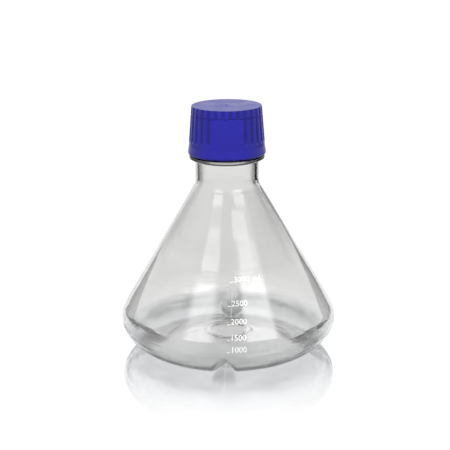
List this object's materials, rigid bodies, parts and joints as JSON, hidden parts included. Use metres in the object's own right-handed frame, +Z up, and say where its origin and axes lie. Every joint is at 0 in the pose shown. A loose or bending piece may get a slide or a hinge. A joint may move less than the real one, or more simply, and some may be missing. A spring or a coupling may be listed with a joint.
{
  "type": "erlenmeyer flask",
  "caption": "Conical baffled shake flask in clear plastic with a ribbed screw cap and a seal disc inside it; the cap unscrews and lifts off.",
  "frame": {"origin": "on the flask's axis, in the plane of the flat foot that it stands on", "axes": "+Z up the flask's axis towards the cap, -Y towards the graduated front, +X to the right as seen from the front"},
  "size_m": [0.2304, 0.2304, 0.2622],
  "materials": {
    "clear_polycarbonate": "clear, blow-moulded, glossy",
    "blue_polypropylene": "injection-moulded, satin gloss",
    "liner_foam": "smooth foam sheet"
  },
  "bodies": {
    "flask": {"flask_body": "clear_polycarbonate"},
    "seal": {"cap_liner": "liner_foam"},
    "cap": {"cap_shell": "blue_polypropylene"}
  },
  "joints": [
    {"name": "cap_rise", "type": "slide", "parent": "flask", "child": "seal", "axis": [0, 0, 1], "range_m": [0, 0.048]},
    {"name": "cap_turn", "type": "hinge", "parent": "seal", "child": "cap", "pos_m": [0, 0, 0.236], "axis": [0, 0, 1], "range_deg": [0, 2880]}
  ],
  "couplings": [
    {"joint": "cap_rise", "follows": "cap_turn", "m_per_rad": 0.00095493}
  ]
}
